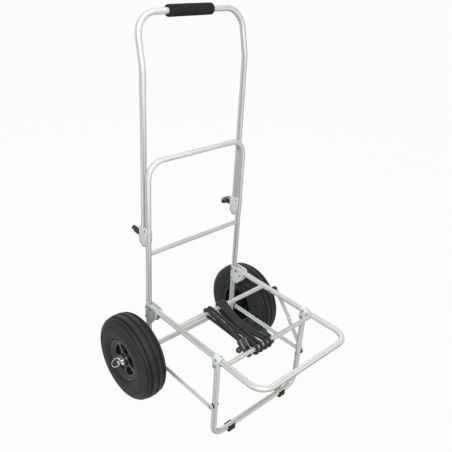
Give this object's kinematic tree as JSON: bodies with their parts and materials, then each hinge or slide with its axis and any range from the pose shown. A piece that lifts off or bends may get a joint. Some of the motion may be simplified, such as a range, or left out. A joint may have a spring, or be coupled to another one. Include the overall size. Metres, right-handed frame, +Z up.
{
  "type": "surfcasting trolley",
  "caption": "Folding trolley with a telescopic handle, pneumatic wheels and a tubular platform on a leg frame, with an elastic cord for tying down tackle.",
  "frame": {"origin": "on the ground under the middle of the trolley's bounding box", "axes": "+Z up; the platform points to -Y, the handle leans to +Y; +X to the right seen from the front of the platform looking along +Y"},
  "size_m": [0.5892, 0.59, 1.0812],
  "materials": {
    "aluminium": "satin, bare drawn tube",
    "drawn_aluminium": "satin with fine drawn lines",
    "zinc": "bright zinc plate",
    "flat_bar": "zinc-plated flat bar",
    "steel": "bright plated",
    "tyre": "matt ribbed tread",
    "rim": "black, half gloss",
    "foam": "closed-cell foam, matt",
    "black_plastic": "black moulded, half gloss",
    "rubber": "matt moulded",
    "cord": "braided sheath over rubber"
  },
  "bodies": {
    "back": {"back_frame": "aluminium", "back_crossbar": "drawn_aluminium", "axle_rod": "steel", "axle_tube": "drawn_aluminium", "axle_collar_left": "steel", "axle_collar_right": "steel", "axle_spacer_left": "steel", "axle_spacer_right": "steel", "wheel_washer_left": "steel", "wheel_washer_right": "steel", "hinge_bracket_left": "zinc", "hinge_bracket_right": "zinc", "hinge_rivet_upper_left": "steel", "hinge_rivet_lower_left": "steel", "hinge_rivet_upper_right": "steel", "hinge_rivet_lower_right": "steel", "platform_bolt_left": "steel", "platform_bolt_right": "steel", "stop_pin_left": "steel", "stop_pin_right": "steel", "clamp_bracket_left": "zinc", "clamp_bracket_right": "zinc"},
    "handle": {"handle_tube": "aluminium", "handle_grip": "foam"},
    "platform": {"platform_frame": "aluminium", "rear_crossbar": "drawn_aluminium", "front_crossbar": "drawn_aluminium", "bungee_cord": "cord", "bungee_hook_first": "black_plastic", "bungee_hook_last": "black_plastic", "leg_clip_left": "zinc", "leg_clip_right": "zinc", "leg_bolt_left": "steel", "leg_bolt_right": "steel", "stay_bolt": "steel", "stay_spacer": "black_plastic"},
    "leg": {"leg_frame": "aluminium", "foot_left": "rubber", "foot_right": "rubber", "strut_bolt_left": "steel", "strut_bolt_right": "steel", "strut_spacer_left": "black_plastic", "strut_spacer_right": "black_plastic"},
    "left_strut": {"strut_left": "flat_bar"},
    "right_strut": {"strut_right": "flat_bar"},
    "upper_stay": {"stay_upper": "flat_bar"},
    "lower_stay": {"stay_lower": "flat_bar"},
    "left_wheel": {"tyre_left": "tyre", "rim_left": "rim"},
    "right_wheel": {"tyre_right": "tyre", "rim_right": "rim"},
    "left_clamp": {"clamp_screw_left": "steel", "clamp_knob_left": "black_plastic"},
    "right_clamp": {"clamp_screw_right": "steel", "clamp_knob_right": "black_plastic"},
    "left_pin": {"linch_pin_left": "steel"},
    "right_pin": {"linch_pin_right": "steel"},
    "left_ring": {"linch_ring_left": "steel"},
    "right_ring": {"linch_ring_right": "steel"}
  },
  "joints": [
    {"name": "handle_slide", "type": "slide", "parent": "back", "child": "handle", "axis": [0, 0, -1], "range_m": [0, 0.35]},
    {"name": "platform_fold", "type": "hinge", "parent": "back", "child": "platform", "pos_m": [0, 0.145, 0.284], "axis": [-1, 0, 0], "range_deg": [0, 88]},
    {"name": "leg_fold", "type": "hinge", "parent": "platform", "child": "leg", "pos_m": [0, -0.131, 0.265], "axis": [1, 0, 0], "range_deg": [0, 90]},
    {"name": "strut_left_fold", "type": "hinge", "parent": "leg", "child": "left_strut", "pos_m": [0, -0.131, 0.129], "axis": [-1, 0, 0], "range_deg": [0, 83.7]},
    {"name": "strut_right_fold", "type": "hinge", "parent": "leg", "child": "right_strut", "pos_m": [0, -0.131, 0.129], "axis": [-1, 0, 0], "range_deg": [0, 83.7]},
    {"name": "stay_upper_fold", "type": "hinge", "parent": "platform", "child": "upper_stay", "pos_m": [0, 0, 0.284], "axis": [-1, 0, 0], "range_deg": [0, 27.82]},
    {"name": "stay_lower_fold", "type": "hinge", "parent": "leg", "child": "lower_stay", "pos_m": [0, -0.131, 0.129], "axis": [1, 0, 0], "range_deg": [0, 47.72]},
    {"name": "wheel_left_spin", "type": "hinge", "parent": "back", "child": "left_wheel", "pos_m": [-0.227, 0.165, 0.13], "axis": [1, 0, 0], "continuous": true},
    {"name": "clamp_left_turn", "type": "hinge", "parent": "back", "child": "left_clamp", "pos_m": [-0.167, 0.21, 0.503], "axis": [0, 1, 0], "continuous": true},
    {"name": "linch_pin_left_pull", "type": "slide", "parent": "back", "child": "left_pin", "axis": [0, 0, 1], "range_m": [0, 0.03]},
    {"name": "linch_ring_left_swing", "type": "hinge", "parent": "left_pin", "child": "left_ring", "pos_m": [-0.2698, 0.165, 0.141], "axis": [0, 1, 0], "range_deg": [-58, 120]},
    {"name": "wheel_right_spin", "type": "hinge", "parent": "back", "child": "right_wheel", "pos_m": [0.227, 0.165, 0.13], "axis": [1, 0, 0], "continuous": true},
    {"name": "clamp_right_turn", "type": "hinge", "parent": "back", "child": "right_clamp", "pos_m": [0.167, 0.21, 0.503], "axis": [0, 1, 0], "continuous": true},
    {"name": "linch_pin_right_pull", "type": "slide", "parent": "back", "child": "right_pin", "axis": [0, 0, 1], "range_m": [0, 0.03]},
    {"name": "linch_ring_right_swing", "type": "hinge", "parent": "right_pin", "child": "right_ring", "pos_m": [0.2698, 0.165, 0.141], "axis": [0, -1, 0], "range_deg": [-58, 120]}
  ],
  "couplings": [
    {"joint": "leg_fold", "follows": "platform_fold", "ratio": 1.0227},
    {"joint": "strut_left_fold", "follows": "platform_fold", "ratio": 0.95091},
    {"joint": "strut_right_fold", "follows": "platform_fold", "ratio": 0.95091},
    {"joint": "stay_upper_fold", "follows": "platform_fold", "ratio": 0.31598},
    {"joint": "stay_lower_fold", "follows": "platform_fold", "ratio": 0.54204}
  ]
}
